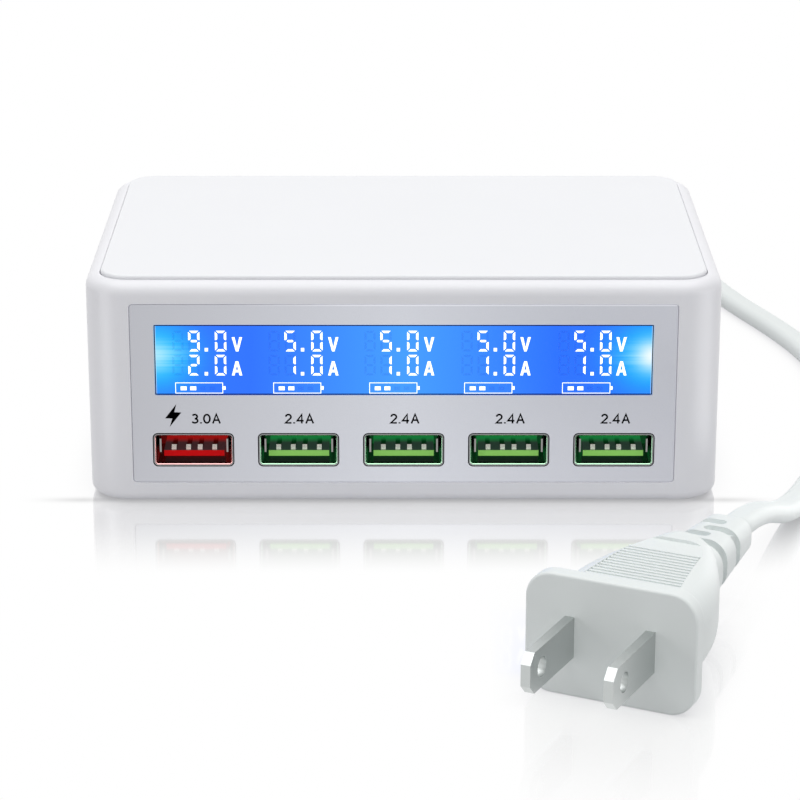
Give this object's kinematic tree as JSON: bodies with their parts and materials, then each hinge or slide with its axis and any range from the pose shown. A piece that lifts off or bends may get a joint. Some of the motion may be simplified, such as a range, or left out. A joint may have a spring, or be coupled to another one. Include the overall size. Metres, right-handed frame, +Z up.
{
  "type": "desktop usb charger with mains lead",
  "caption": "Low rectangular desktop charger with USB sockets in a row under a lit blue display, a raised white top, and a detachable mains lead with a flat two-blade plug.",
  "frame": {"origin": "floor level under the middle of the case", "axes": "+X to the right as seen from the front, +Y to the rear, +Z up; the sockets face -Y"},
  "size_m": [0.1395, 0.2929, 0.0403],
  "materials": {
    "case": "satin silver",
    "lid": "satin white",
    "panel": "satin silver",
    "rubber": "matt black",
    "steel": "plated",
    "display": "polished, lit blue",
    "light_guide": "clear",
    "white_plastic": "matt white",
    "white_plastic_soft": "soft white",
    "board": "green resist",
    "ribbon": "grey insulation",
    "socket_plastic": "natural",
    "black_plastic": "matt black",
    "nickel": "nickel plated",
    "ferrite": "matt dark grey",
    "tape": "yellow tape",
    "copper": "enamelled copper wire",
    "core_yellow": "painted",
    "can_sleeve": "dark sleeve",
    "fuse_glass": "white tube",
    "film_yellow": "yellow box",
    "disc_blue": "blue dip",
    "aluminium": "extruded",
    "tongue_red": "red",
    "tongue_green": "green"
  },
  "bodies": {
    "root": {"ac_inlet": "black_plastic", "base_cover": "case", "base_screws": "steel", "board_screws": "steel", "board_socket": "socket_plastic", "bridge_rectifier": "black_plastic", "bulk_capacitor": "can_sleeve", "choke_core": "ferrite", "choke_winding": "copper", "cord_coil": "white_plastic_soft", "cord_connector": "white_plastic_soft", "cord_lead": "white_plastic_soft", "cord_run": "white_plastic_soft", "cord_tie": "black_plastic", "display_board": "board", "display_ribbon": "ribbon", "display_screws": "steel", "display_socket": "socket_plastic", "feet": "rubber", "film_capacitor": "film_yellow", "front_panel": "panel", "fuse": "fuse_glass", "heat_sink": "aluminium", "housing": "case", "inductor_core": "core_yellow", "inductor_winding": "copper", "inlet_pins": "nickel", "lcd_backlight": "light_guide", "lcd_glass": "display", "lcd_tray": "white_plastic", "main_board": "board", "output_capacitors": "can_sleeve", "plug_blades": "nickel", "plug_body": "white_plastic_soft", "power_transistor": "black_plastic", "safety_capacitor": "disc_blue", "top_panel": "lid", "transformer_bobbin": "black_plastic", "transformer_core": "ferrite", "transformer_winding": "tape", "usb_contacts_1": "nickel", "usb_contacts_2": "nickel", "usb_contacts_3": "nickel", "usb_contacts_4": "nickel", "usb_contacts_5": "nickel", "usb_shell_1": "nickel", "usb_shell_2": "nickel", "usb_shell_3": "nickel", "usb_shell_4": "nickel", "usb_shell_5": "nickel", "usb_tongue_1": "tongue_red", "usb_tongue_2": "tongue_green", "usb_tongue_3": "tongue_green", "usb_tongue_4": "tongue_green", "usb_tongue_5": "tongue_green"}
  },
  "joints": []
}
